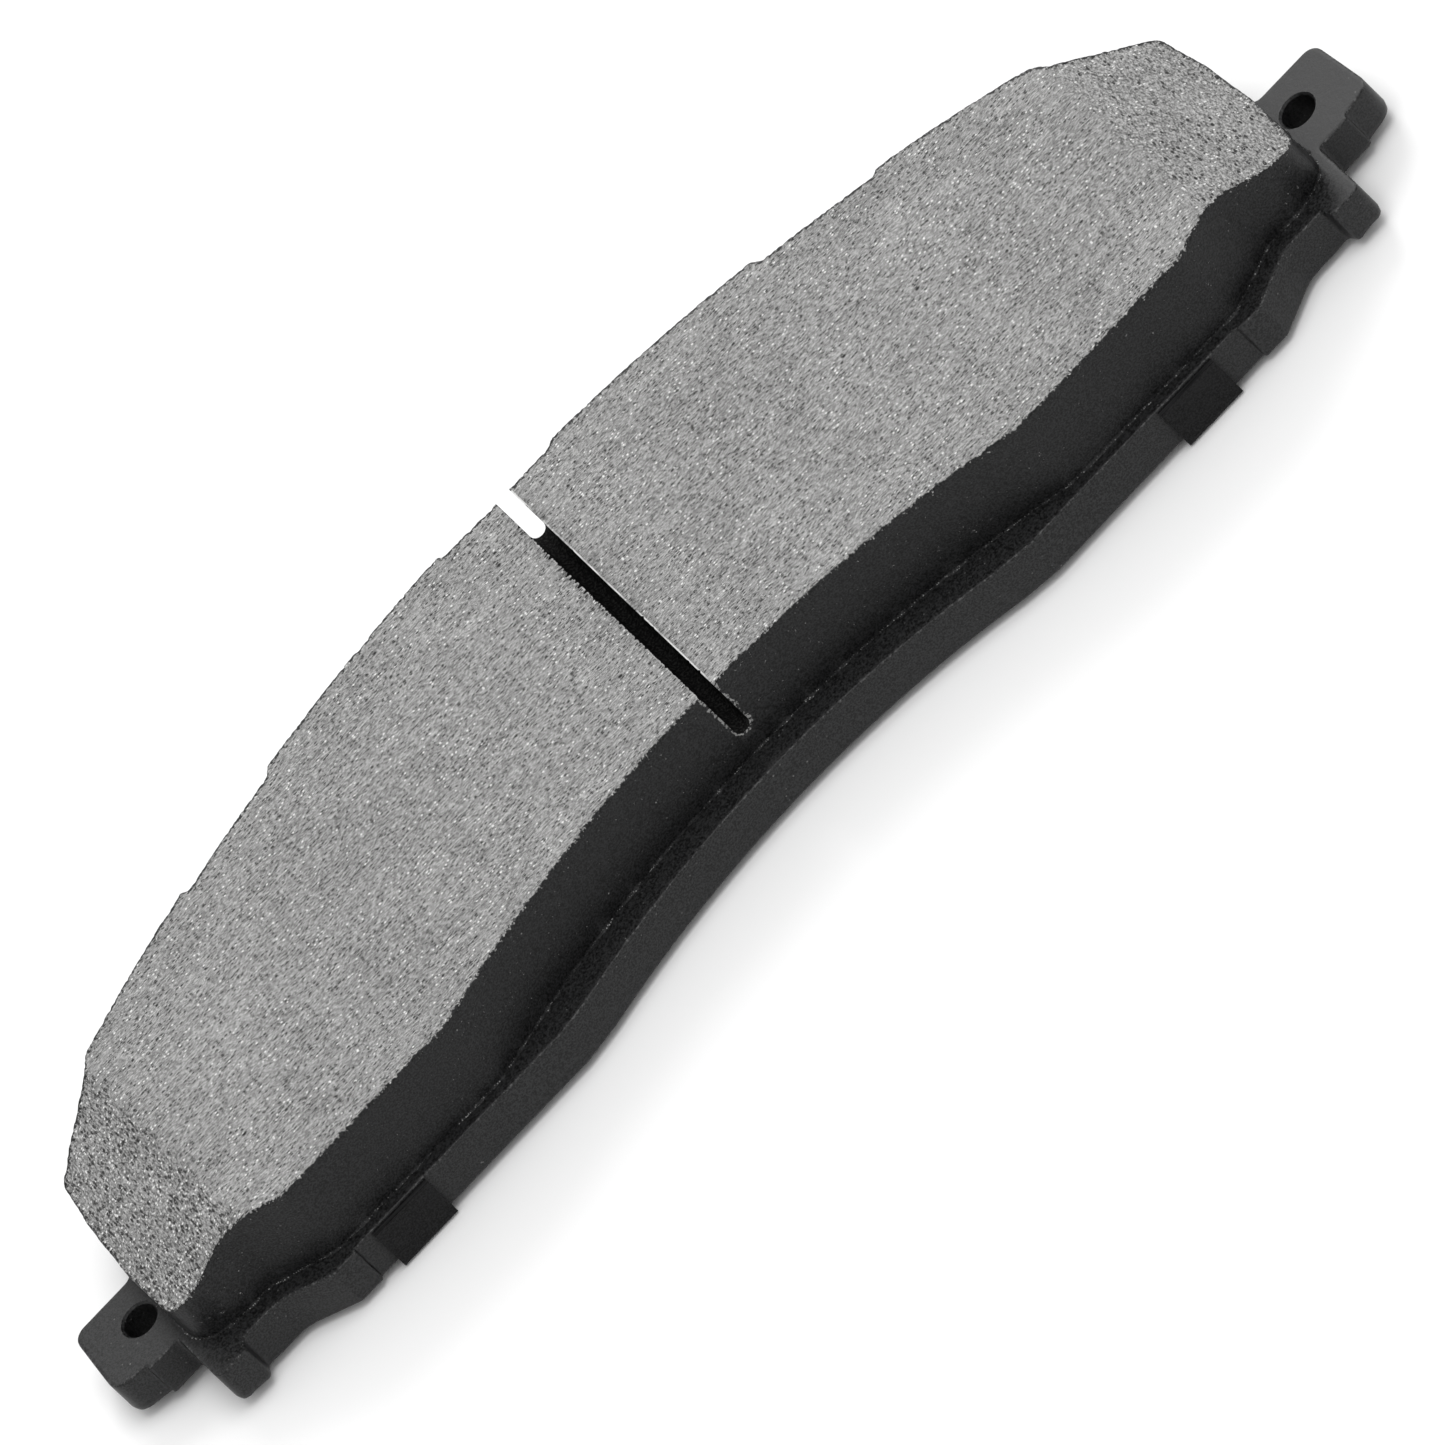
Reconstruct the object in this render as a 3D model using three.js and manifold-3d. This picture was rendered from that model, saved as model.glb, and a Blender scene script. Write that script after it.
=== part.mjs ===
// Disc brake pad: steel backing plate, bonded friction block and clipped multi-layer shim.
// Millimetres. +X runs along the pad, +Y points away from the disc's centre, +Z out of the friction face.
// Outlines are drawn about the line between the two ear holes; the finished pad is centred at the end.
import * as THREE from 'three';
import { mergeVertices } from 'three/addons/utils/BufferGeometryUtils.js';
import Module from 'manifold-3d';

const wasm = await Module();
wasm.setup();

// ---- Driving dimensions ----

// The disc's centre lies on the pad's centre line, this far below the ear holes.
const DISC_CENTRE_Y = -151.2;
const LINING_OUTER_RADIUS = 190;
const LINING_INNER_RADIUS = 142.6;

// Layers, from the back to the friction face.
const OUTER_RUBBER = 0.1;
const CORE = 0.5;
const INNER_RUBBER = 0.1;
const SHIM_ADHESIVE = 0.1;
const PLATE = 5.9;
const BOND = 0.1;
const UNDERLAYER = 2.0;
const FRICTION = 9.1;

// Friction block.
const RECESS_DEPTH = 1.0;
const END_RECESS_DEPTH = 1.2;
const CENTRE_RECESS = 8.1;
const SIDE_RECESS = [37.8, 53.4];
const END_RECESS = 74.5;
const RECESS_RAMP = 0.8;
const LINING_SHOULDER_X = 85.7;
const SLOT_WIDTH = 2.1;
const SLOT_X = 0.9;
const SLOT_FLOOR = 3.15;
const CHAMFER_START = 75;
const CHAMFER_SLOPE = 0.44;

// Backing plate.
const OUTER_LEDGE = 1.2;
const PLATE_INNER_RADIUS = 120;
const PLATE_INNER_Y = -12.4;
const PLATE_FOOT_Y = -17.4;
const EAR_HOLE_X = 90.3;
const EAR_HOLE_RADIUS = 2.2;
const KEY_HOLE_RADIUS = 5;
const KEY_HOLES = [
  [18, 24],
  [52, 16],
  [36, 2],
  [72, 4],
];

// Shim.
const SHIM_INSET = 2.2;
const SHIM_SHIFT = -0.9;
const SHIM_END = 79;
const CLIP_WIDTH = 8.2;
const CLIP_X = 61.15;
const OUTER_CLIP_WIDTH = 11;
const CLIP_HEIGHT = 5.6;
const CLIP_ROOT = 1;

// Facets.
const ARC_STEPS = 5;
const EAR_HOLE_SIDES = 24;
const KEY_HOLE_SIDES = 20;

// Cutting tools start and end outside the block, and run past its friction face.
const CUT_FROM_Y = -40;
const CUT_TO_Y = 60;
const CUT_MARGIN = 1;

// ---- Outline helpers ----

// Height of a circle about the disc's centre.
function ringY(radius, x) {
  return DISC_CENTRE_Y + Math.sqrt(radius * radius - x * x);
}

// Replaces each corner [x, y, radius] of a closed outline by an arc; no radius leaves it sharp.
function roundCorners(corners) {
  const points = [];
  corners.forEach(([x, y, radius], i) => {
    const corner = new THREE.Vector2(x, y);
    if (!radius) {
      points.push(corner);
      return;
    }
    const last = new THREE.Vector2(...corners.at(i - 1).slice(0, 2));
    const next = new THREE.Vector2(...corners[(i + 1) % corners.length].slice(0, 2));
    const toLast = last.sub(corner).normalize();
    const toNext = next.sub(corner).normalize();
    const half = Math.acos(THREE.MathUtils.clamp(toLast.dot(toNext), -1, 1)) / 2;
    const start = corner.clone().addScaledVector(toLast, radius / Math.tan(half));
    const end = corner.clone().addScaledVector(toNext, radius / Math.tan(half));
    const middle = toLast.clone().add(toNext).normalize();
    const centre = corner.clone().addScaledVector(middle, radius / Math.sin(half));
    const from = start.clone().sub(centre).angle();
    const turn = end.clone().sub(centre).angle() - from;
    const sweep = THREE.MathUtils.euclideanModulo(turn + Math.PI, 2 * Math.PI) - Math.PI;
    for (let k = 0; k <= ARC_STEPS; k++) {
      const angle = from + (sweep * k) / ARC_STEPS;
      points.push(new THREE.Vector2(Math.cos(angle), Math.sin(angle)).multiplyScalar(radius).add(centre));
    }
  });
  return points;
}

// Mirrors the right half of an outline, given from its foot to its top, into the whole closed outline.
function mirrored(half) {
  const left = half.map(([x, y, radius]) => [-x, y, radius]).reverse();
  return roundCorners([...half, ...left]);
}

// Evenly spaced corners of a curve y = height(x).
function stations(from, to, count, height) {
  return Array.from({ length: count + 1 }, (_, i) => {
    const x = from + ((to - from) * i) / count;
    return [x, height(x)];
  });
}

// The block's outer edge from the end towards the centre: a ring arc with shallow recesses.
function outerEdge(ledge) {
  const land = (x) => ringY(LINING_OUTER_RADIUS, x) + ledge;
  const sunk = (x) => land(x) - RECESS_DEPTH;
  const end = (x) => land(x) - END_RECESS_DEPTH;
  const [near, far] = SIDE_RECESS;
  const ramp = RECESS_RAMP;
  return [
    ...stations(LINING_SHOULDER_X - 3, END_RECESS + ramp, 2, end),
    ...stations(END_RECESS - ramp, far + ramp, 5, land),
    ...stations(far, near + ramp, 4, sunk),
    ...stations(near, CENTRE_RECESS + ramp, 7, land),
    [CENTRE_RECESS, sunk(0)],
  ];
}

// ---- Solid helpers ----

// Raises a flat outline into a solid between two heights.
function extrude(outline, bottom, top, holes = []) {
  const shape = new THREE.Shape(outline);
  shape.holes = holes.map((hole) => new THREE.Path(hole));
  const geometry = new THREE.ExtrudeGeometry(shape, { depth: top - bottom, bevelEnabled: false });
  return geometry.translate(0, 0, bottom);
}

function circle(x, y, radius, sides) {
  return Array.from({ length: sides }, (_, i) => {
    const angle = ((i + 0.5) * 2 * Math.PI) / sides;
    return new THREE.Vector2(x + radius * Math.cos(angle), y + radius * Math.sin(angle));
  });
}

// Sweeps a profile of [across, up] points along +Y, from one y to another.
function sweepAlongY(profile, from, to) {
  const points = profile.map(([across, up]) => new THREE.Vector2(across, up));
  const geometry = extrude(points, 0, to - from);
  return geometry.rotateX(Math.PI / 2).translate(0, to, 0);
}

// Sweeps a profile of [across, up] points along +X, from one x to another.
function sweepAlongX(profile, from, to) {
  const points = profile.map(([across, up]) => new THREE.Vector2(across, up));
  const geometry = extrude(points, 0, to - from);
  return geometry.rotateX(Math.PI / 2).rotateZ(Math.PI / 2).translate(from, 0, 0);
}

function toSolid(geometry) {
  const bare = geometry.clone();
  bare.deleteAttribute('normal');
  bare.deleteAttribute('uv');
  const welded = mergeVertices(bare, 1e-5);
  return new wasm.Manifold(
    new wasm.Mesh({
      numProp: 3,
      vertProperties: new Float32Array(welded.attributes.position.array),
      triVerts: new Uint32Array(welded.index.array),
    }),
  );
}

function toGeometry(solid) {
  const mesh = solid.getMesh();
  const geometry = new THREE.BufferGeometry();
  geometry.setAttribute('position', new THREE.BufferAttribute(mesh.vertProperties, 3));
  geometry.setIndex(new THREE.BufferAttribute(mesh.triVerts, 1));
  geometry.computeVertexNormals();
  return geometry;
}

function cut(geometry, ...tools) {
  return toGeometry(tools.reduce((rest, tool) => rest.subtract(toSolid(tool)), toSolid(geometry)));
}

function join(...pieces) {
  return toGeometry(pieces.map(toSolid).reduce((sum, piece) => sum.add(piece)));
}

function part(name, geometry, material) {
  const mesh = new THREE.Mesh(geometry, material);
  mesh.name = name;
  return mesh;
}

// ---- Materials ----

const powderCoat = new THREE.MeshStandardMaterial({ color: 0x3c3d3f, roughness: 0.62, metalness: 0.1 });
const frictionMix = new THREE.MeshStandardMaterial({ color: 0x8f8e8c, roughness: 0.95, metalness: 0.0 });
const baseMix = new THREE.MeshStandardMaterial({ color: 0x2e2c2a, roughness: 0.95, metalness: 0.0 });
const adhesive = new THREE.MeshStandardMaterial({ color: 0x5a3a20, roughness: 0.6, metalness: 0.0 });
const rubber = new THREE.MeshStandardMaterial({ color: 0x1d1d1e, roughness: 0.7, metalness: 0.0 });
const shimSteel = new THREE.MeshStandardMaterial({ color: 0x46484a, roughness: 0.45, metalness: 0.9 });

// ---- Outlines ----

// Friction block and underlayer.
const liningOutline = mirrored([
  ...stations(0, 40, 10, (x) => ringY(LINING_INNER_RADIUS, x)),
  [44.5, -15.65, 4],
  [69.8, -15.65, 2],
  [77.9, -11.8, 3],
  [83, -11.8, 3],
  [87.6, -10.2, 3.5],
  [87.75, 0],
  [86.95, 9.6],
  [86.1, 14.4],
  [LINING_SHOULDER_X, ringY(LINING_OUTER_RADIUS, LINING_SHOULDER_X) - END_RECESS_DEPTH, 2],
  ...outerEdge(0),
]);

const plateInnerEdge = (x) => PLATE_INNER_Y - PLATE_INNER_RADIUS + Math.sqrt(PLATE_INNER_RADIUS ** 2 - x * x);

const earEdge = [
  [88.9, -16, 1],
  [88.9, -6.8, 0.4],
  [93.3, -6.8],
  [93.5, -6.1],
  [97.75, -5.2, 1.8],
  [97.25, 0.5],
  [96.75, 5.85, 1.7],
  [87.6, 5.85, 1.2],
  [86.9, 14],
  [86.2, 18.4, 1],
];

const plateOutline = mirrored([
  ...stations(0, 32, 8, plateInnerEdge),
  [36.6, PLATE_FOOT_Y - 0.1, 6],
  [50, PLATE_FOOT_Y],
  [68.6, PLATE_FOOT_Y],
  [68.8, PLATE_FOOT_Y - 0.5],
  [72.1, PLATE_FOOT_Y - 0.5, 0.4],
  [78.2, -14.3, 5],
  [84, -14.3, 0.8],
  [84.6, -16, 0.6],
  ...earEdge,
  ...outerEdge(OUTER_LEDGE),
]);

const plateCentreY = ringY(LINING_OUTER_RADIUS, 0) + OUTER_LEDGE - RECESS_DEPTH;

// The shim's sheet follows the plate's edges, set back from them, and stops short of the ears.
const shimOutline = mirrored([
  ...stations(0, 32, 5, (x) => plateInnerEdge(x) + SHIM_INSET),
  [38, PLATE_FOOT_Y + SHIM_INSET, 4],
  [SHIM_END - 9, PLATE_FOOT_Y + SHIM_INSET, 3],
  [SHIM_END, -11.5, 3],
  [SHIM_END, ringY(LINING_OUTER_RADIUS, SHIM_END) - SHIM_INSET, 3],
  ...stations(SHIM_END - 6, CENTRE_RECESS + 4, 7, (x) => ringY(LINING_OUTER_RADIUS, x) - SHIM_INSET),
  [CENTRE_RECESS, plateCentreY - SHIM_INSET],
]).map((point) => point.add(new THREE.Vector2(SHIM_SHIFT, 0)));

// ---- Pieces ----

// Heights of the layers' lower faces.
const CORE_Z = OUTER_RUBBER;
const INNER_RUBBER_Z = CORE_Z + CORE;
const SHIM_ADHESIVE_Z = INNER_RUBBER_Z + INNER_RUBBER;
const PLATE_Z = SHIM_ADHESIVE_Z + SHIM_ADHESIVE;
const PLATE_TOP = PLATE_Z + PLATE;
const UNDERLAYER_Z = PLATE_TOP + BOND;
const FRICTION_Z = UNDERLAYER_Z + UNDERLAYER;
const FRICTION_TOP = FRICTION_Z + FRICTION;

const keyHole = (x, y) => circle(x, y, KEY_HOLE_RADIUS, KEY_HOLE_SIDES);
const keyHoles = KEY_HOLES.flatMap(([x, y]) => [keyHole(-x, y), keyHole(x, y)]);
const earHoles = [-EAR_HOLE_X, EAR_HOLE_X].map((x) => circle(x, 0, EAR_HOLE_RADIUS, EAR_HOLE_SIDES));

function backingPlate() {
  const holes = [...keyHoles, ...earHoles];
  return part('backing_plate', extrude(plateOutline, PLATE_Z, PLATE_TOP, holes), powderCoat);
}

function bondingAdhesive() {
  return part('bonding_adhesive', extrude(liningOutline, PLATE_TOP, UNDERLAYER_Z, keyHoles), adhesive);
}

// The underlayer is one moulding with the plugs that fill the plate's keying holes.
function underlayer() {
  const plugs = keyHoles.map((hole) => extrude(hole, PLATE_Z, UNDERLAYER_Z + UNDERLAYER / 2));
  return part('underlayer', join(extrude(liningOutline, UNDERLAYER_Z, FRICTION_Z), ...plugs), baseMix);
}

// The slot has a round floor and runs right across the block, parallel to the chamfers.
function slotTool() {
  const radius = SLOT_WIDTH / 2;
  const floor = PLATE_TOP + SLOT_FLOOR + radius;
  const round = Array.from({ length: 9 }, (_, i) => {
    const angle = Math.PI + (i * Math.PI) / 8;
    return [SLOT_X + radius * Math.cos(angle), floor + radius * Math.sin(angle)];
  });
  const top = FRICTION_TOP + CUT_MARGIN;
  return sweepAlongY([...round, [SLOT_X + radius, top], [SLOT_X - radius, top]], CUT_FROM_Y, CUT_TO_Y);
}

function chamferTool(side) {
  const run = 20;
  const top = FRICTION_TOP + CUT_MARGIN;
  const profile = [
    [side * CHAMFER_START, FRICTION_TOP],
    [side * (CHAMFER_START + run), FRICTION_TOP - run * CHAMFER_SLOPE],
    [side * (CHAMFER_START + run), top],
    [side * CHAMFER_START, top],
  ];
  return sweepAlongY(side > 0 ? profile : profile.reverse(), CUT_FROM_Y, CUT_TO_Y);
}

function frictionLining() {
  const block = extrude(liningOutline, FRICTION_Z, FRICTION_TOP);
  return part('friction_lining', cut(block, slotTool(), chamferTool(1), chamferTool(-1)), frictionMix);
}

// One layer of the shim: a flat sheet and the strips of it that fold up round the plate's edge.
function shimLayer(name, bottom, thickness, material) {
  const sheet = extrude(shimOutline, bottom, bottom + thickness);
  const gap = PLATE_Z - bottom;
  const inner = clip(gap, bottom, thickness, CLIP_WIDTH, PLATE_FOOT_Y);
  const outer = clip(gap, bottom, thickness, OUTER_CLIP_WIDTH, -plateCentreY).rotateZ(Math.PI);
  const innerClips = [-CLIP_X, CLIP_X].map((x) => inner.clone().translate(x + SHIM_SHIFT, 0, 0));
  return part(name, join(sheet, ...innerClips, outer), material);
}

// A fold at a plate edge that faces -Y: the layer's flat strip, its bend and its upright.
function clip(gap, bottom, thickness, width, edgeY) {
  const outside = edgeY - gap;
  const bend = (r) =>
    Array.from({ length: 5 }, (_, i) => {
      const angle = Math.PI + (i * Math.PI) / 8;
      return [edgeY + r * Math.cos(angle), PLATE_Z + r * Math.sin(angle)];
    });
  const strip = edgeY + SHIM_INSET + CLIP_ROOT;
  const top = PLATE_Z + CLIP_HEIGHT;
  const profile = [
    ...bend(gap),
    [strip, bottom],
    [strip, bottom + thickness],
    ...bend(gap - thickness).reverse(),
    [outside + thickness, top],
    [outside, top],
  ];
  return sweepAlongX(profile, -width / 2, width / 2);
}

function shimAdhesive() {
  return part('shim_adhesive', extrude(shimOutline, SHIM_ADHESIVE_Z, PLATE_Z), adhesive);
}

const pieces = new THREE.Group();
pieces.add(
  backingPlate(),
  bondingAdhesive(),
  underlayer(),
  frictionLining(),
  shimAdhesive(),
  shimLayer('shim_inner_rubber', INNER_RUBBER_Z, INNER_RUBBER, rubber),
  shimLayer('shim_core', CORE_Z, CORE, shimSteel),
  shimLayer('shim_outer_rubber', 0, OUTER_RUBBER, rubber),
);

// The frame's origin is under the middle of the finished pad, on the surface that it lies on.
const middle = new THREE.Box3().setFromObject(pieces, true).getCenter(new THREE.Vector3());
pieces.position.set(-middle.x, -middle.y, 0);

const brakePad = new THREE.Group();
brakePad.add(pieces);
export default brakePad;
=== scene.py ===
"""Looks for the brake pad: a detailed plate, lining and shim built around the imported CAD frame."""

import math

import bpy
import numpy as np
from mathutils import Matrix, Vector, kdtree, noise
from mathutils.geometry import delaunay_2d_cdt


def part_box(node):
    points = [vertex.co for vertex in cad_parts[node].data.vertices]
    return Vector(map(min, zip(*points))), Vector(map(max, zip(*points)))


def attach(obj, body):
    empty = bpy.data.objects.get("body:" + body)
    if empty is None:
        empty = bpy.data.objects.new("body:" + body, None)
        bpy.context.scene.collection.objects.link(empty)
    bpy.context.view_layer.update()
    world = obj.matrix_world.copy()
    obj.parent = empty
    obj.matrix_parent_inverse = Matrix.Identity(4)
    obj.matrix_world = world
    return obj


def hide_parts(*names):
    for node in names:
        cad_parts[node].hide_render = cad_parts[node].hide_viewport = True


MM = 0.001
TOUCHING = 0.001 * MM  # heights closer than this are one height
CLEAR = 0.01 * MM

# ---- Camera and lights ----
VIEW_TILT = 48.8  # degrees between the pad's plane normal and the line of sight
VIEW_ROLL = 46.24  # degrees by which the pad turns in the picture
VIEW_WIDTH = 155.9 * MM
LENS = 1500  # so long that the picture has almost no perspective
SENSOR = 36
AIM_ACROSS = -0.28 * MM
AIM_DOWN = 0.89 * MM
WORLD_STRENGTH = 0.76
FLOOR_SIZE = 4.0

# ---- Friction block ----
WALL_STEP = 0.22 * MM  # between the points round the block and the base layer
FACE_STEP = 0.9 * MM
FACE_MARGIN = 1.2 * MM  # from the rim to the face's inner points
CHAMFER_START = 75 * MM
CHAMFER_SLOPE = 0.44
CHAMFER_BLEND = 0.8 * MM
EDGE_WAVE = 0.05 * MM
EDGE_WAVE_LENGTH = 6 * MM
CHIP_DEPTH = 0.34 * MM
CHIP_START = 0.9 * MM  # below the face
CHIP_FOOT = 0.25 * MM  # below the face, before the chip's own depth
SMALL_CHIP = 0.5 * MM
LARGE_CHIP = 3.5 * MM
RIM = 0.16 * MM

# ---- Slot ----
SLOT_SEARCH = 3 * MM  # either side of the pad's centre line
SLOT_STEP = 0.16 * MM
SLOT_RUNOUT = 1.95 * MM
SLOT_BREAK_FOOT = 0.8 * MM  # below the face
SLOT_BREAK_TOP = 0.3 * MM
CUTTER_MARGIN = 1 * MM
SLOT_CHIP = 1.15 * MM
SLOT_CHIP_MOST = 0.48 * MM
LEFT_TEAR = 0.45 * MM
RIGHT_TEAR = 0.8 * MM
SLOT_ROUGH_Y = 9 * MM  # the middle of the stretch where the saw tore the slot's left edge most
SLOT_ROUGH_LENGTH = 8 * MM

# ---- Base layer ----
FLASH_WIDTH = 0.45 * MM
FLASH_HEIGHT = 0.22 * MM
FLASH_LIFT = 0.02 * MM  # above the plate
FLASH_RAGGEDNESS = 1.6 * MM
PLUG_OVERLAP = 0.5 * MM  # short of the layer's top, inside it

# ---- Backing plate ----
PLATE_STEP = 0.16 * MM
HOLE_STEP = 0.4 * MM
FRONT_EDGE_RADIUS = 0.22 * MM
BACK_EDGE_ROLL = 0.6 * MM
END_BACK_ROLL = 1.5 * MM  # on the ears and stubs
END_START = 82 * MM
END_BLEND = 5 * MM
HOLE_EDGE = 0.25 * MM

UNTANGLE_STEPS = 400


# ---- Outlines taken from the CAD nodes ----


def face_loops(node, height):
    """The outlines of a CAD node's flat faces at one height, longest first, each anticlockwise."""
    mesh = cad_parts[node].data
    edges = {}
    for polygon in mesh.polygons:
        points = [mesh.vertices[i].co for i in polygon.vertices]
        if max(abs(p.z - height) for p in points) > TOUCHING:
            continue
        keys = [(round(p.x, 7), round(p.y, 7)) for p in points]
        for a, b in zip(keys, keys[1:] + keys[:1]):
            if (b, a) in edges:
                del edges[(b, a)]
            else:
                edges[(a, b)] = True
    following = dict(edges.keys())
    loops = []
    while following:
        start = next(iter(following))
        loop = [start]
        step = following.pop(start)
        while step != start:
            loop.append(step)
            step = following.pop(step)
        loops.append(np.array(loop))
    loops = [loop if signed_area(loop) > 0 else loop[::-1] for loop in loops]
    return sorted(loops, key=signed_area, reverse=True)


def signed_area(loop):
    """The area inside a closed outline, positive if it runs anticlockwise."""
    x, y = loop[:, 0], loop[:, 1]
    return 0.5 * float(np.sum(x * np.roll(y, -1) - np.roll(x, -1) * y))


def resample(loop, step, easing=2):
    """The same closed outline with evenly spaced points, and corners eased a given number of times."""
    closed = np.vstack([loop, loop[:1]])
    lengths = np.linalg.norm(np.diff(closed, axis=0), axis=1)
    along = np.concatenate([[0], np.cumsum(lengths)])
    count = int(round(along[-1] / step))
    wanted = np.linspace(0, along[-1], count, endpoint=False)
    even = np.column_stack([np.interp(wanted, along, closed[:, k]) for k in (0, 1)])
    for _ in range(easing):
        even = 0.5 * even + 0.25 * (np.roll(even, 1, axis=0) + np.roll(even, -1, axis=0))
    return even


def inward(loop, spread=2):
    """Unit vectors across an anticlockwise outline, towards its inside, turning gently at corners."""
    tangent = np.roll(loop, -2, axis=0) - np.roll(loop, 2, axis=0)
    normal = np.column_stack([-tangent[:, 1], tangent[:, 0]])
    normal /= np.linalg.norm(normal, axis=1)[:, None]
    for _ in range(spread):
        normal = normal + 0.5 * (np.roll(normal, 1, axis=0) + np.roll(normal, -1, axis=0))
    return normal / np.linalg.norm(normal, axis=1)[:, None]


def side_of(start, end, points):
    """Positive for points to the left of the lines from start to end, row by row."""
    along, to_point = end - start, points - start
    return along[:, 0] * to_point[:, 1] - along[:, 1] * to_point[:, 0]


def near_crossings(loop, reach=30, margin=3):
    """Marks the points of an outline in each small loop where it crosses itself, and a few beside it."""
    start, end = loop, np.roll(loop, -1, axis=0)
    near = np.zeros(len(loop), bool)
    for apart in range(2, reach):
        later_start = np.roll(start, -apart, axis=0)
        later_end = np.roll(end, -apart, axis=0)
        parted = side_of(start, end, later_start) * side_of(start, end, later_end) < 0
        parted &= side_of(later_start, later_end, start) * side_of(later_start, later_end, end) < 0
        for step in range(-margin, apart + margin + 1):
            near |= np.roll(parted, step)
    return near


def ripple(loop, size, seed, octaves=1):
    """Smooth random values along an outline, about -1 to 1, with features of the given size."""
    offset = Vector((seed * 17.3, seed * 5.1, seed * 2.7))
    values = [noise.fractal(Vector((x, y, 0)) / size + offset, 1.0, 2.0, octaves) for x, y in loop]
    return np.array(values)


# ---- Mesh building ----


class Builder:
    """Collects rings, walls and caps into one mesh, with one float attribute per vertex."""

    def __init__(self):
        self.points = []
        self.faces = []
        self.marks = []

    def ring(self, loop, heights, mark=0.0):
        first = len(self.points)
        heights = np.broadcast_to(heights, len(loop))
        marks = np.broadcast_to(mark, len(loop))
        for (x, y), z, m in zip(loop, heights, marks):
            self.points.append((x, y, z))
            self.marks.append(m)
        return list(range(first, len(self.points)))

    def untangle(self, ring):
        """Eases a ring where it crosses itself, as an inset outline can at its sharpest corners."""
        flat = np.array([self.points[i][:2] for i in ring])
        for _ in range(UNTANGLE_STEPS):
            near = near_crossings(flat)
            if not near.any():
                break
            eased = 0.5 * flat + 0.25 * (np.roll(flat, 1, axis=0) + np.roll(flat, -1, axis=0))
            flat[near] = eased[near]
        for i, (x, y) in zip(ring, flat):
            self.points[i] = (x, y, self.points[i][2])

    def wall(self, lower, upper, outward=True):
        count = len(lower)
        for i in range(count):
            j = (i + 1) % count
            quad = (lower[i], lower[j], upper[j], upper[i])
            self.faces.append(quad if outward else quad[::-1])

    def cap(self, outer, holes=(), up=True, inner_points=(), height=None, mark=0.0):
        """Fills a ring, leaving out the holes, once no ring crosses itself.

        Inner points take their height from a function, or else lie level with the ring.
        """
        rings = [outer, *holes]
        for ring in rings:
            self.untangle(ring)
        level = self.points[outer[0]][2]
        index = [i for ring in rings for i in ring]
        flat = [Vector(self.points[i][:2]) for i in index] + [Vector(p) for p in inner_points]
        borders = []
        start = 0
        for ring in rings:
            borders.append(list(range(start, start + len(ring))))
            start += len(ring)
        result = delaunay_2d_cdt(flat, [], borders, 1, 1e-8)
        verts, _, faces, orig_verts, _, orig_faces = result
        place = []
        for vert, sources in zip(verts, orig_verts):
            source = sources[0] if sources else None
            if source is not None and source < len(index):
                place.append(index[source])
                continue
            place.append(len(self.points))
            self.points.append((vert.x, vert.y, height(vert.x, vert.y) if height else level))
            self.marks.append(mark)
        for face, sources in zip(faces, orig_faces):
            if any(source > 0 for source in sources):
                continue
            corners = [place[i] for i in face]
            a, b, c = (Vector(self.points[i][:2]) for i in corners)
            turns_left = (b - a).cross(c - a) > 0
            self.faces.append(corners if turns_left == up else corners[::-1])

    def build(self, name, material, sharp=35):
        mesh = bpy.data.meshes.new(name)
        mesh.from_pydata(self.points, [], self.faces)
        attribute = mesh.attributes.new("mark", "FLOAT", "POINT")
        attribute.data.foreach_set("value", self.marks)
        mesh.materials.append(material)
        return finished(name, mesh, sharp)


def finished(name, mesh, sharp):
    """A piece made of a mesh, smooth except where its faces turn by more than a given angle."""
    mesh.polygons.foreach_set("use_smooth", [True] * len(mesh.polygons))
    mesh.set_sharp_from_angle(angle=math.radians(sharp))
    piece = bpy.data.objects.new(name, mesh)
    bpy.context.scene.collection.objects.link(piece)
    return piece


# ---- Material helpers ----


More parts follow.
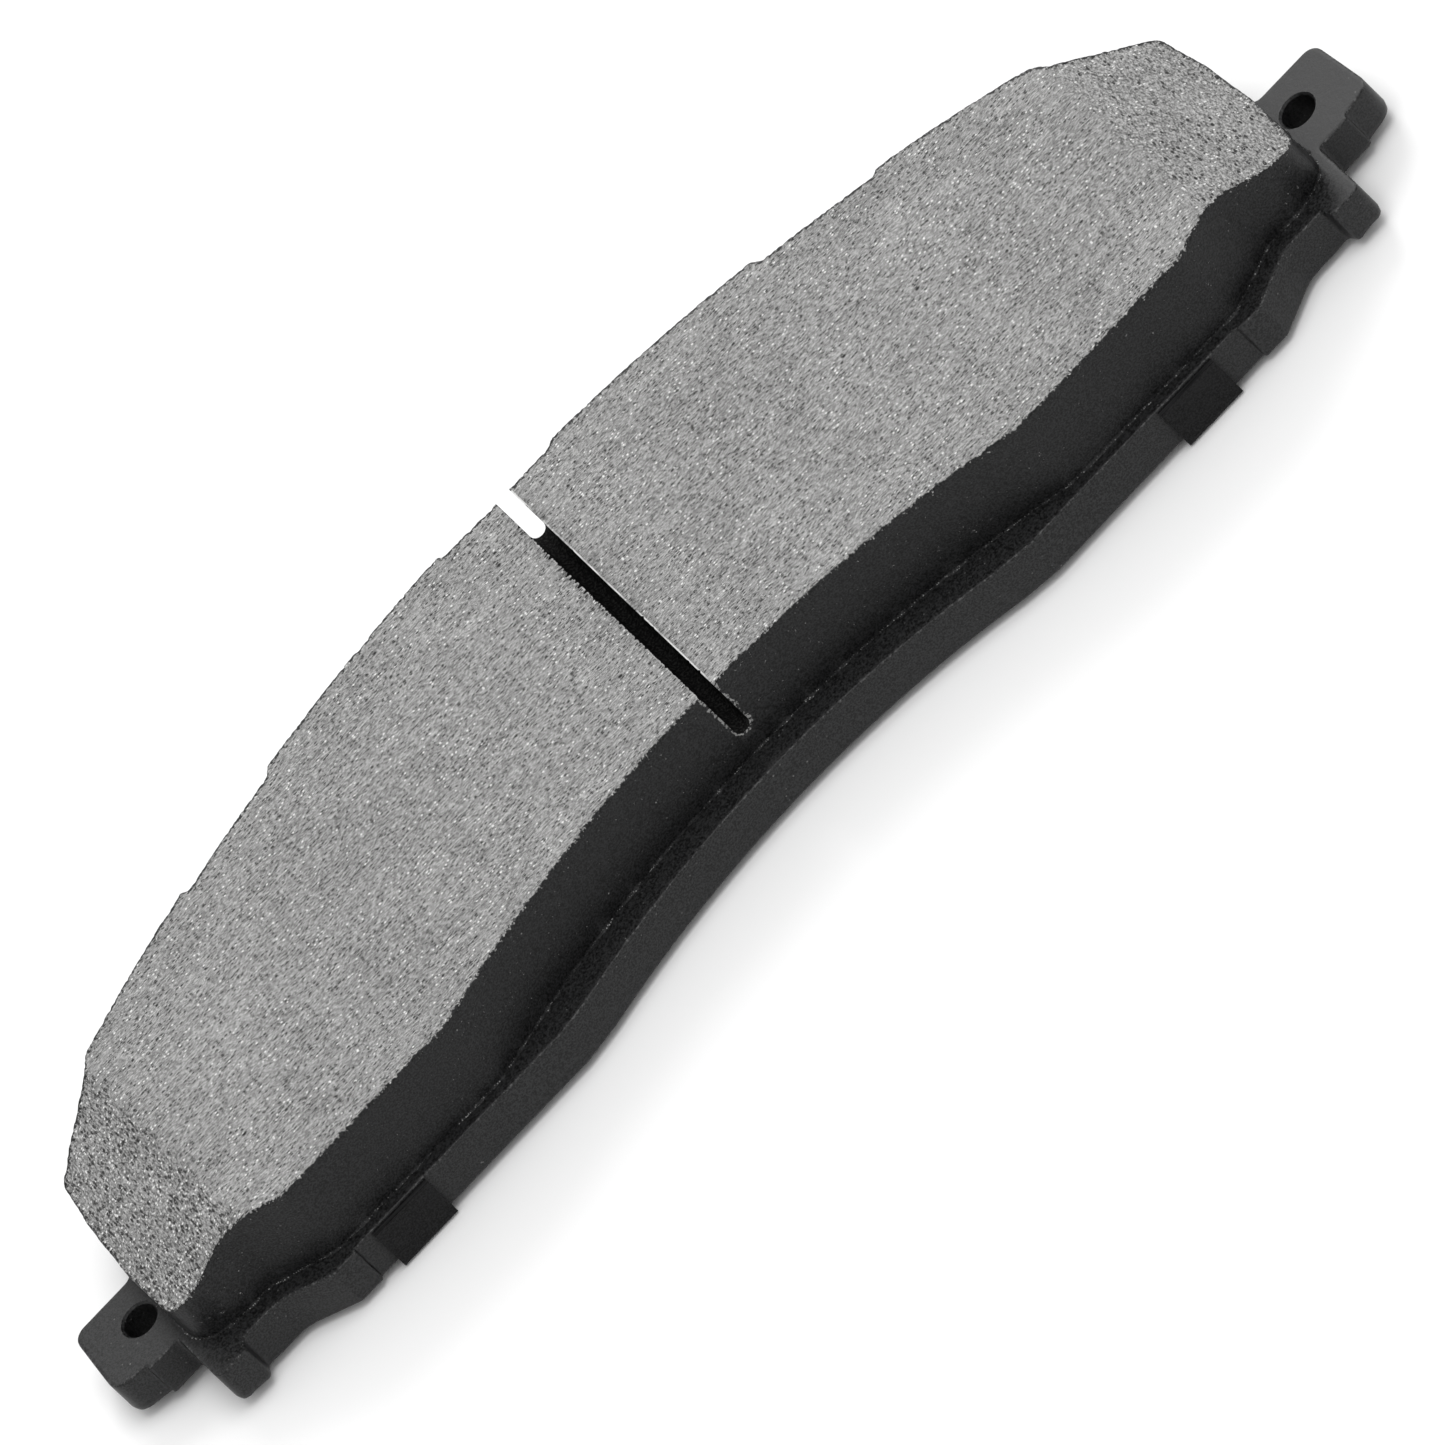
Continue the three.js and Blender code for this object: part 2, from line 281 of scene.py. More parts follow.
class Nodes:
    """A short way to write a material's node tree."""

    def __init__(self, name, roughness, specular=0.5):
        self.material = bpy.data.materials.new(name)
        self.material.use_nodes = True
        self.tree = self.material.node_tree
        self.shader = self.tree.nodes["Principled BSDF"]
        self.shader.inputs["Roughness"].default_value = roughness
        self.shader.inputs["Specular IOR Level"].default_value = specular
        coordinates = self.tree.nodes.new("ShaderNodeTexCoord")
        self.position = coordinates.outputs["Object"]

    def link(self, source, socket):
        if isinstance(source, (int, float, tuple)):
            socket.default_value = source
        else:
            self.tree.links.new(source, socket)

    def math(self, operation, a, b=0.0, clamp=False):
        node = self.tree.nodes.new("ShaderNodeMath")
        node.operation = operation
        node.use_clamp = clamp
        self.link(a, node.inputs[0])
        self.link(b, node.inputs[1])
        return node.outputs[0]

    def stretch(self, scale, position=None):
        node = self.tree.nodes.new("ShaderNodeMapping")
        node.inputs["Scale"].default_value = scale
        self.link(position or self.position, node.inputs["Vector"])
        return node.outputs[0]

    def noise(self, size, detail=2.0, position=None, roughness=0.5):
        node = self.tree.nodes.new("ShaderNodeTexNoise")
        node.inputs["Scale"].default_value = 1 / size
        node.inputs["Detail"].default_value = detail
        node.inputs["Roughness"].default_value = roughness
        self.link(position or self.position, node.inputs["Vector"])
        return node.outputs["Fac"]

    def cells(self, size, position=None):
        """Distance to the nearest of many scattered points, and a random value for each point."""
        node = self.tree.nodes.new("ShaderNodeTexVoronoi")
        node.inputs["Scale"].default_value = 1 / size
        self.link(position or self.position, node.inputs["Vector"])
        split = self.tree.nodes.new("ShaderNodeSeparateColor")
        self.tree.links.new(node.outputs["Color"], split.inputs[0])
        return node.outputs["Distance"], split.outputs[0]

    def band(self, value, low, high, out_low=0.0, out_high=1.0):
        """Carries the range from low to high over to another range, and holds it beyond the ends."""
        node = self.tree.nodes.new("ShaderNodeMapRange")
        self.link(value, node.inputs["Value"])
        limits = {"From Min": low, "From Max": high, "To Min": out_low, "To Max": out_high}
        for key, number in limits.items():
            node.inputs[key].default_value = number
        return node.outputs["Result"]

    def mix(self, factor, a, b):
        """Mixes two colours."""
        node = self.tree.nodes.new("ShaderNodeMix")
        node.data_type = "RGBA"
        self.link(factor, node.inputs[0])
        for value, socket in ((a, node.inputs[6]), (b, node.inputs[7])):
            self.link((*value, 1.0) if isinstance(value, tuple) else value, socket)
        return node.outputs[2]

    def blend(self, factor, a, b):
        """Mixes two numbers."""
        node = self.tree.nodes.new("ShaderNodeMix")
        self.link(factor, node.inputs[0])
        self.link(a, node.inputs[2])
        self.link(b, node.inputs[3])
        return node.outputs[0]

    def scattered(self, size, share, radius, position=None, soft=0.12):
        """Spots of one radius, on a random share of the cells."""
        distance, pick = self.cells(size, position)
        spot = self.band(distance, radius, radius - soft)
        return self.math("MULTIPLY", spot, self.math("LESS_THAN", pick, share))

    def mark(self):
        """The number that the mesh carries at each point."""
        node = self.tree.nodes.new("ShaderNodeAttribute")
        node.attribute_name = "mark"
        return node.outputs["Fac"]

    def axis(self, name):
        node = self.tree.nodes.new("ShaderNodeSeparateXYZ")
        self.tree.links.new(self.position, node.inputs[0])
        return node.outputs[name]

    def bump(self, height, distance, strength=1.0, normal=None):
        node = self.tree.nodes.new("ShaderNodeBump")
        node.inputs["Distance"].default_value = distance
        node.inputs["Strength"].default_value = strength
        self.link(height, node.inputs["Height"])
        if normal is not None:
            self.link(normal, node.inputs["Normal"])
        return node.outputs[0]

    def finish(self, colour, normal=None, roughness=None):
        self.link(colour, self.shader.inputs["Base Color"])
        if normal is not None:
            self.link(normal, self.shader.inputs["Normal"])
        if roughness is not None:
            self.link(roughness, self.shader.inputs["Roughness"])
        return self.material


# ---- Materials ----

GROUND_DARK = (0.08, 0.0795, 0.078)
GROUND_MID = (0.265, 0.264, 0.261)
GROUND_LIGHT = (0.47, 0.468, 0.461)
PIT = (0.02, 0.0195, 0.019)
FLECK = (0.80, 0.80, 0.79)
COAT = (0.0060, 0.0061, 0.0063)
COAT_WORN = (0.075, 0.075, 0.075)
DUST = (0.42, 0.42, 0.41)
BURR = (0.24, 0.24, 0.236)
SLOT_WALL_DARK = (0.004, 0.004, 0.004)
SLOT_WALL_LIGHT = (0.03, 0.03, 0.029)
FLASH = (0.36, 0.36, 0.355)
POWDER = (0.0075, 0.0076, 0.0078)
RUBBER = (0.0042, 0.0042, 0.0044)
SMUDGE = (0.018, 0.018, 0.0184)
STEEL_DARK = (0.035, 0.035, 0.036)
STEEL_LIGHT = (0.075, 0.075, 0.077)
GLUE_DARK = (0.02, 0.012, 0.008)
GLUE_LIGHT = (0.06, 0.032, 0.018)
FLOOR_DARK = (0.93, 0.93, 0.93)
FLOOR_LIGHT = (0.95, 0.95, 0.95)

# Sizes of the friction face's grain, and the spacing of its pits and flecks.
PAD_GRAIN = 0.24 * MM
SLOT_GRAIN = 0.26 * MM
SCRATCH = 0.2 * MM
PIT_SPACING = 0.33 * MM
CHAMFER_PIT_SPACING = 0.46 * MM
BIG_PIT_SPACING = 4.2 * MM
FLECK_SPACING = 0.4 * MM
CHAMFER_WANDER = 1.5 * MM
CHAMFER_SOFTNESS = 0.6 * MM

COAT_TEXTURE = 0.22 * MM
DUST_SPACING = 2.6 * MM
BURR_REACH = 0.34 * MM
BURR_FRAY = 0.22 * MM


def ground_mix(m):
    """Colour and height of the ground friction face: grain, pits and flecks.

    The grain runs along the pad on the flat face and along the slot on the chamfers, and the left
    chamfer is the rougher one.
    """
    along_pad = m.stretch((0.55, 1.3, 1.0))
    along_slot = m.stretch((1.25, 0.5, 1.0))
    x = m.axis("X")
    wander = m.band(m.noise(2.5 * MM, 3.0), 0.2, 0.8, -CHAMFER_WANDER, CHAMFER_WANDER)
    past_flat = m.math("ADD", m.math("ABSOLUTE", x), wander)
    on_chamfer = m.band(past_flat, CHAMFER_START - CHAMFER_SOFTNESS, CHAMFER_START + CHAMFER_SOFTNESS)
    leftness = m.band(x, -CHAMFER_START, CHAMFER_START, 1.0, 0.0)
    torn = m.math("MULTIPLY", on_chamfer, leftness)
    pad_grain = m.noise(PAD_GRAIN, 3.0, along_pad, 0.75)
    slot_grain = m.noise(SLOT_GRAIN, 2.0, along_slot, 0.7)
    darker = m.band(leftness, 0, 1, 0.015, 0.045)
    grain = m.blend(on_chamfer, pad_grain, m.math("SUBTRACT", slot_grain, darker))
    tone = m.band(m.noise(11 * MM, 3.0), 0.3, 0.7, -0.018, 0.018)
    scratches = m.noise(SCRATCH, 2.0, m.stretch((0.05, 1.1, 1.0)), 0.6)
    grain = m.math("ADD", grain, m.band(scratches, 0.35, 0.65, -0.045, 0.045))
    shade = m.math("ADD", grain, tone)
    colour = m.mix(m.band(shade, 0.34, 0.5), GROUND_DARK, GROUND_MID)
    colour = m.mix(m.band(shade, 0.52, 0.66), colour, GROUND_LIGHT)
    crowd = m.band(m.noise(6 * MM, 2.0), 0.3, 0.7, 0.12, 0.4)
    pad_pits = m.scattered(PIT_SPACING, crowd, 0.46, along_pad, 0.1)
    chamfer_crowd = m.math("MULTIPLY", crowd, m.band(leftness, 0, 1, 0.55, 1.5))
    slot_pits = m.scattered(CHAMFER_PIT_SPACING, chamfer_crowd, 0.47, along_slot, 0.08)
    ragged = m.band(m.noise(0.17 * MM, 1.0), 0.34, 0.44)
    pits = m.math("MULTIPLY", m.blend(on_chamfer, pad_pits, slot_pits), ragged)
    big_pits = m.scattered(BIG_PIT_SPACING, 0.22, 0.08, m.stretch((0.8, 1.2, 1.0)), 0.04)
    fleck_share = m.math("ADD", 0.12, m.math("MULTIPLY", torn, 0.25))
    flecks = m.scattered(FLECK_SPACING, fleck_share, 0.36, m.stretch((0.8, 1.1, 1.2)), 0.1)
    colour = m.mix(m.math("MULTIPLY", flecks, 0.8), colour, FLECK)
    dark = m.math("MAXIMUM", m.math("MULTIPLY", pits, 0.92), big_pits)
    colour = m.mix(dark, colour, PIT)
    height = m.math("SUBTRACT", m.math("MULTIPLY", grain, 0.6), dark)
    return colour, height


def coated(m, base=COAT):
    """Colour and height of a black coat with a fine texture and a few specks of dust."""
    texture = m.noise(COAT_TEXTURE, 3.0)
    dark = tuple(0.1 * c for c in base)
    light = tuple(3.0 * c for c in base)
    colour = m.mix(m.band(texture, 0.38, 0.62), dark, light)
    specks = m.scattered(DUST_SPACING, 0.05, 0.05, None, 0.03)
    return m.mix(m.math("MULTIPLY", specks, 0.5), colour, DUST), texture


def friction_material():
    """Ground on its face and black on its moulded sides, with a ragged border that follows the rim, and
    a painted highlight along the slot's upper edges.
    """
    m = Nodes("friction_mix", 0.8, 0.22)
    ground, ground_height = ground_mix(m)
    side, side_height = coated(m)
    edge_noise = m.noise(0.42 * MM, 3.0, None, 0.65)
    is_ground = m.band(m.math("ADD", m.mark(), m.band(edge_noise, 0.3, 0.7, -0.5, 0.5)), 0.46, 0.54)
    burr, edge_painted_highlight = slot_edges(m)
    side = m.mix(burr, side, BURR)
    # Painted highlight: a light line along the slot's upper edges, in the fleck colour.
    ground = m.mix(edge_painted_highlight, ground, FLECK)
    height = m.blend(is_ground, side_height, ground_height)
    roughness = m.blend(is_ground, 0.4, 0.85)
    normal = m.bump(height, 0.06 * MM, 0.8)
    return m.finish(m.mix(is_ground, side, ground), normal, roughness)


def slot_edges(m):
    """Where the saw left a burr round the slot's end, and a painted highlight: a light line along the
    slot's upper edges, strongest on the right.
    """
    left, right = slot_walls()
    radius = (right - left) / 2
    across = m.math("SUBTRACT", m.axis("X"), (left + right) / 2)
    below = m.math("MAXIMUM", m.math("SUBTRACT", slot_floor() + radius, m.axis("Z")), 0.0)
    squares = m.math("ADD", m.math("MULTIPLY", across, across), m.math("MULTIPLY", below, below))
    outside = m.math("SUBTRACT", m.math("SQRT", squares), radius)
    fray = m.band(m.noise(0.7 * MM, 3.0), 0.3, 0.7, -BURR_FRAY, BURR_FRAY)
    near = m.band(m.math("ADD", outside, fray), BURR_REACH, 0.26 * MM)
    burr = m.math("MULTIPLY", near, m.band(m.noise(0.3 * MM, 2.0), 0.47, 0.55))
    # Painted highlight: a broken light line beside the slot's upper edges, full on the right wall and
    # weaker on the left, where the edge catches the light.
    right_side = m.band(across, 0, radius, 0.35, 1.0)
    streaks = m.band(m.noise(1.6 * MM, 3.0, m.stretch((1.0, 0.35, 1.0))), 0.42, 0.6)
    line = m.band(outside, 0.2 * MM, 0.13 * MM)
    edge_painted_highlight = m.math("MULTIPLY", m.math("MULTIPLY", line, right_side), streaks)
    return burr, edge_painted_highlight


def slot_material():
    """The slot's walls: dull and near black, far darker than the ground face, with the mix's grain
    showing faintly.
    """
    m = Nodes("slot_wall", 0.85, 0.1)
    grain = m.noise(0.3 * MM, 3.0)
    colour = m.mix(m.band(grain, 0.45, 0.7), SLOT_WALL_DARK, SLOT_WALL_LIGHT)
    return m.finish(colour, m.bump(grain, 0.08 * MM, 0.8))


def underlayer_material():
    """Black, with pale broken specks on the flash round its foot."""
    m = Nodes("base_mix", 0.4, 0.22)
    side, height = coated(m)
    flecks = m.scattered(0.24 * MM, 0.6, 0.4)
    patchy = m.band(m.noise(5 * MM, 2.0), 0.4, 0.6, 0.25, 1.0)
    shown = m.math("MULTIPLY", m.math("MULTIPLY", flecks, m.mark()), patchy)
    normal = m.bump(height, 0.06 * MM, 0.6)
    return m.finish(m.mix(shown, side, FLASH), normal)


def powder_coat_material():
    """Satin black powder coat, worn thin in broken runs along the front edge."""
    m = Nodes("powder_coat", 0.4, 0.3)
    colour, height = coated(m, POWDER)
    broken = m.band(m.noise(0.5 * MM, 4.0, None, 0.7), 0.54, 0.6)
    worn = m.math("MULTIPLY", m.mark(), broken)
    dusty = m.band(m.noise(7 * MM, 2.0), 0.5, 0.7)
    grit = m.math("MULTIPLY", m.scattered(0.7 * MM, 0.3, 0.2), m.math("MULTIPLY", dusty, 0.35))
    colour = m.mix(grit, colour, DUST)
    peel = m.noise(0.9 * MM, 2.0)
    normal = m.bump(height, 0.03 * MM, 0.5, m.bump(peel, 0.05 * MM, 0.4))
    roughness = m.band(height, 0.3, 0.7, 0.36, 0.5)
    return m.finish(m.mix(worn, colour, COAT_WORN), normal, roughness)


def rubber_material():
    """Matt black rubber with a fine moulded texture, faint smudges and a little dust."""
    m = Nodes("shim_rubber", 0.6, 0.14)
    colour, texture = coated(m, RUBBER)
    smudge = m.noise(3.5 * MM, 4.0, None, 0.6)
    colour = m.mix(m.band(smudge, 0.45, 0.75, 0.0, 0.5), colour, SMUDGE)
    roughness = m.band(smudge, 0.3, 0.7, 0.5, 0.72)
    return m.finish(colour, m.bump(texture, 0.05 * MM, 0.7), roughness)


def steel_material():
    """Dark phosphated steel with faint rolling lines."""
    m = Nodes("shim_steel", 0.5)
    m.shader.inputs["Metallic"].default_value = 1.0
    lines = m.noise(0.3 * MM, 3.0, m.stretch((0.05, 1.0, 1.0)))
    colour = m.mix(lines, STEEL_DARK, STEEL_LIGHT)
    return m.finish(colour, m.bump(lines, 0.01 * MM, 0.5), m.band(lines, 0.3, 0.7, 0.4, 0.6))


def adhesive_material():
    """Brown cured glue, only ever seen as a thin line."""
    m = Nodes("adhesive", 0.45)
    mottled = m.noise(0.5 * MM, 3.0)
    colour = m.mix(mottled, GLUE_DARK, GLUE_LIGHT)
    return m.finish(colour, m.bump(mottled, 0.02 * MM, 0.5))


# ---- Pieces ----


def face_height(top, x):
    """Height of the friction face: flat, then down the end chamfer with a softly ground edge."""
    past = abs(x) - CHAMFER_START
    soft = CHAMFER_BLEND
    if past < -soft:
        return top
    if past > soft:
        return top - CHAMFER_SLOPE * past
    return top - CHAMFER_SLOPE * (past + soft) ** 2 / (4 * soft)


def chips(loop, seed):
    """How far each point of a rim is broken away: mostly little, sometimes a whole chip."""
    small = np.clip(ripple(loop, SMALL_CHIP, seed, 2), -0.4, 1)
    large = np.clip(ripple(loop, LARGE_CHIP, seed + 1, 2) - 0.25, 0, 1)
    return np.clip(0.12 + 0.5 * small + 1.4 * large, 0.02, 1)


def friction_lining(outline, material):
    """The block with a chipped rim, ground face and end chamfers; the slot is cut afterwards."""
    foot, top = (corner[2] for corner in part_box("friction_lining"))
    loop = resample(outline, WALL_STEP)
    across = inward(loop)
    face = np.array([face_height(top, x) for x, _ in loop])
    chip = chips(loop, 1)
    wave = ripple(loop, EDGE_WAVE_LENGTH, 5)[:, None] * EDGE_WAVE
    # How much each rim point faces the far side. There it lowers the marks of the two top rim rings, so
    # a thin dark line of the black side colour shows along the face's edge: a painted shade outline.
    far = np.clip(-across[:, 1], 0, 1)

    def inset(depth):
        return loop + across * (np.broadcast_to(depth, len(loop))[:, None] + wave)

    b = Builder()
    rings = [
        b.ring(loop, foot, 0.0),
        b.ring(inset(0), foot + 0.3 * (face - foot), 0.0),
        b.ring(inset(0), foot + 0.7 * (face - foot), 0.0),
        b.ring(inset(0), face - CHIP_START, 0.0),
        b.ring(inset(0.1 * CHIP_DEPTH * chip), face - CHIP_FOOT - 0.5 * CHIP_DEPTH * chip, 0.1),
        b.ring(inset(0.5 * CHIP_DEPTH * chip), face - 0.5 * RIM - 0.5 * CHIP_DEPTH * chip, 0.3),
        # Painted shade: the far terms in these two marks draw a thin dark outline along the far rim.
        b.ring(inset(CHIP_DEPTH * chip + 0.6 * RIM), face - 0.1 * RIM, 0.42 - 0.25 * far),
        b.ring(inset(CHIP_DEPTH * chip + RIM), face, 0.65 - 0.4 * far),
        b.ring(inset(CHIP_DEPTH * chip + 4.5 * RIM), face, 1.0),
    ]
    for lower, upper in zip(rings, rings[1:]):
        b.wall(lower, upper)
    b.cap(rings[0], up=False)
    inner = grid_inside(resample(loop + across * FACE_MARGIN, FACE_STEP))
    b.cap(rings[-1], inner_points=inner, height=lambda x, y: face_height(top, x), mark=1.0)
    return b.build("friction_block", material, 50)


def grid_inside(loop):
    """Evenly spaced points inside an outline, with extra columns where the chamfers begin."""
    lo, hi = loop.min(axis=0), loop.max(axis=0)
    columns = set(np.arange(lo[0], hi[0], 2 * FACE_STEP))
    for side in (-1, 1):
        columns |= {side * (CHAMFER_START + k * CHAMFER_BLEND / 2) for k in range(-2, 3)}
    points = []
    for x in sorted(columns):
        crossings = []
        for (x0, y0), (x1, y1) in zip(loop, np.roll(loop, -1, axis=0)):
            if (x0 > x) != (x1 > x):
                crossings.append(y0 + (x - x0) * (y1 - y0) / (x1 - x0))
        crossings.sort()
        for low, high in zip(crossings[::2], crossings[1::2]):
            count = max(2, int((high - low) / (3 * FACE_STEP)))
            points += [(x, low + (high - low) * i / count) for i in range(count + 1)]
    return points


def slot_cutter():
    """The saw's path: a round floor, and upper edges that break out, more on the left."""
    lowest, highest = (corner[1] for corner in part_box("friction_lining"))
    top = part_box("friction_lining")[1][2]
    walls = slot_walls()
    middle = sum(walls) / 2
    radius = (walls[1] - walls[0]) / 2
    floor = slot_floor() + radius
    stations = np.arange(lowest - SLOT_RUNOUT, highest + SLOT_RUNOUT, SLOT_STEP)
    b = Builder()
    rings = []
    for y in stations:
        rough = 0.3 + 0.7 * math.exp(-(((y - SLOT_ROUGH_Y) / SLOT_ROUGH_LENGTH) ** 2))
        tear = rough * noise.fractal(Vector((9, y / LEFT_TEAR, 3)), 1.0, 2.0, 2) + 0.08 * rough
        left = min(SLOT_CHIP * max(0, tear), SLOT_CHIP_MOST)
        right = 0.3 * SLOT_CHIP * max(0, noise.noise(Vector((-9, y / RIGHT_TEAR, 3))) - 0.2)
        arc = [math.pi + k * math.pi / 8 for k in range(9)]
        profile = [(middle + radius * math.cos(a), floor + radius * math.sin(a)) for a in arc]
        profile += [
            (middle + radius, top - SLOT_BREAK_FOOT),
            (middle + radius + right, top - SLOT_BREAK_TOP),
            (middle + radius + right, top + CUTTER_MARGIN),
            (middle - radius - left, top + CUTTER_MARGIN),
            (middle - radius - left, top - SLOT_BREAK_TOP),
            (middle - radius, top - SLOT_BREAK_FOOT),
        ]
        first = len(b.points)
        b.points += [(x, y, z) for x, z in profile]
        b.marks += [1.0] * len(profile)
        rings.append(list(range(first, len(b.points))))
    for near, far in zip(rings, rings[1:]):
        b.wall(far, near)
    b.faces.append(rings[0])
    b.faces.append(rings[-1][::-1])
    return b


def slot_walls():
    """The x of the slot's two walls, from the vertices of the CAD block's top face."""
    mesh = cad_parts["friction_lining"].data
    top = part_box("friction_lining")[1][2]
    level = [v.co.x for v in mesh.vertices if abs(v.co.z - top) < TOUCHING]
    walls = [x for x in level if abs(x) < SLOT_SEARCH]
    return min(walls), max(walls)


def slot_floor():
    """The lowest height of the slot, from the CAD block's vertices between its walls."""
    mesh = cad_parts["friction_lining"].data
    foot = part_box("friction_lining")[0][2]
    left, right = slot_walls()
    between = [v.co for v in mesh.vertices if left + CLEAR < v.co.x < right - CLEAR]
    return min(point.z for point in between if point.z > foot + CLEAR)


def cut(piece, cutter):
    """Cuts one piece with another; each new vertex takes the mark of the nearest old one."""
    old = piece.data
    tree = kdtree.KDTree(len(old.vertices))
    for vertex in old.vertices:
        tree.insert(vertex.co, vertex.index)
    tree.balance()
    old_marks = [value.value for value in old.attributes["mark"].data]
    modifier = piece.modifiers.new("slot", "BOOLEAN")
    modifier.object = cutter
    modifier.operation = "DIFFERENCE"
    modifier.solver = "EXACT"
    modifier.material_mode = "TRANSFER"
    apply_modifiers(piece)
    bpy.data.objects.remove(cutter)
    marks = [old_marks[tree.find(vertex.co)[1]] for vertex in piece.data.vertices]
    piece.data.attributes["mark"].data.foreach_set("value", marks)


def apply_modifiers(piece):
    """Gives a piece the mesh that its modifiers make of it."""
    bpy.context.view_layer.update()
    evaluated = piece.evaluated_get(bpy.context.evaluated_depsgraph_get())
    mesh = bpy.data.meshes.new_from_object(evaluated)
    piece.modifiers.clear()
    piece.data = mesh


def underlayer(outline, plugs, material):
    """The base layer, with thin broken moulding flash round its foot and plugs in the plate."""
    foot, top = PLATE_TOP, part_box("underlayer")[1][2]
    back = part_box("underlayer")[0][2]
    loop = resample(outline, WALL_STEP)
    across = inward(loop)
    ragged = np.clip(0.25 + 0.7 * ripple(loop, FLASH_RAGGEDNESS, 21, 3), 0.05, 1)
    out = -across * (FLASH_WIDTH * ragged)[:, None]
    low = foot + FLASH_LIFT
    b = Builder()
    rings = [
        b.ring(loop + out, low, 0.8),
        b.ring(loop + out * 0.8, low + FLASH_HEIGHT * 0.3 * ragged, 0.8),
        b.ring(loop + out * 0.25, low + FLASH_HEIGHT * 0.6 * ragged + 0.05 * MM, 0.4),
        b.ring(loop, foot + FLASH_HEIGHT + 0.1 * MM, 0.0),
        b.ring(loop, top, 0.0),
    ]
    for lower, upper in zip(rings, rings[1:]):
        b.wall(lower, upper)
    b.cap(rings[0], up=False)
    b.cap(rings[-1])
    for plug in plugs:
        plug_back = b.ring(plug, back)
        plug_front = b.ring(plug, top - PLUG_OVERLAP)
        b.wall(plug_back, plug_front)
        b.cap(plug_back, up=False)
        b.cap(plug_front)
    return b.build("base_layer", material, 50)


def backing_plate(outline, holes, material):
    """The stamped plate: a crisp front edge, a rolled back edge and holes with broken edges."""
    bottom, top = (corner[2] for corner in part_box("backing_plate"))
    loop = resample(outline, PLATE_STEP, 1)
    across = inward(loop)
    gently_across = inward(loop, 40)
    b = Builder()
    outer = []
    towards_end = np.clip((np.abs(loop[:, 0]) - END_START) / END_BLEND, 0, 1)
    roll = BACK_EDGE_ROLL + (END_BACK_ROLL - BACK_EDGE_ROLL) * towards_end
    for angle in (0, 30, 60, 90):
        turn = math.radians(angle)
        depth = (roll * (1 - math.sin(turn)))[:, None]
        outer.append(b.ring(loop + gently_across * depth, bottom + roll * (1 - math.cos(turn))))
    for angle, mark in ((0, 0.0), (30, 0.7), (60, 1.0), (90, 0.35)):
        turn = math.radians(angle)
        depth = FRONT_EDGE_RADIUS * (1 - math.cos(turn))
        outer.append(b.ring(loop + across * depth, top - FRONT_EDGE_RADIUS * (1 - math.sin(turn)), mark))
    outer.append(b.ring(loop + across * 2.5 * FRONT_EDGE_RADIUS, top, 0.0))
    for lower, upper in zip(outer, outer[1:]):
        b.wall(lower, upper)
    lows, highs = [], []
    for hole in holes:
        wide = hole - inward(hole) * HOLE_EDGE
        rings = [
            b.ring(wide, bottom),
            b.ring(hole, bottom + HOLE_EDGE),
            b.ring(hole, top - HOLE_EDGE),
            b.ring(wide, top, 0.6),
            b.ring(hole - inward(hole) * 1.8 * HOLE_EDGE, top),
        ]
        for lower, upper in zip(rings, rings[1:]):
            b.wall(lower, upper, outward=False)
        lows.append(rings[0])
        highs.append(rings[-1])
    b.cap(outer[0], lows, up=False)
    b.cap(outer[-1], highs)
    return b.build("stamped_plate", material, 30)


# ---- Stage ----


def make_floor(material):
    bpy.ops.mesh.primitive_plane_add(size=FLOOR_SIZE, location=(0, 0, 0))
    floor = bpy.context.object
    floor.name = "floor"
    floor.data.materials.append(material)


def floor_material():
    """Nearly white card, with a trace of unevenness."""
    m = Nodes("floor", 0.9, 0.1)
    tone = m.noise(0.4, 2.0)
    return m.finish(m.mix(tone, FLOOR_DARK, FLOOR_LIGHT))


def area_light(name, direction, distance, size, power):
    """A round soft light at a distance in metres from the origin, facing it."""
    data = bpy.data.lights.new(name, "AREA")
    data.shape = "DISK"
    data.size = size
    data.energy = power
    light = bpy.data.objects.new(name, data)
    back = Vector(direction).normalized()
    light.location = back * distance
    light.rotation_mode = "QUATERNION"
    light.rotation_quaternion = (-back).to_track_quat("-Z", "Y")
    bpy.context.scene.collection.objects.link(light)


def make_lights():
    world = bpy.data.worlds.new("studio")
    world.use_nodes = True
    background = world.node_tree.nodes["Background"]
    background.inputs["Color"].default_value = (1, 1, 1, 1)
    background.inputs["Strength"].default_value = WORLD_STRENGTH
    bpy.context.scene.world = world
    area_light("overhead", direction=(0.1, -0.1, 1.0), distance=1.4, size=1.0, power=7.5)
    area_light("behind", direction=(0.22, 0.75, 0.66), distance=1.5, size=0.7, power=6.2)


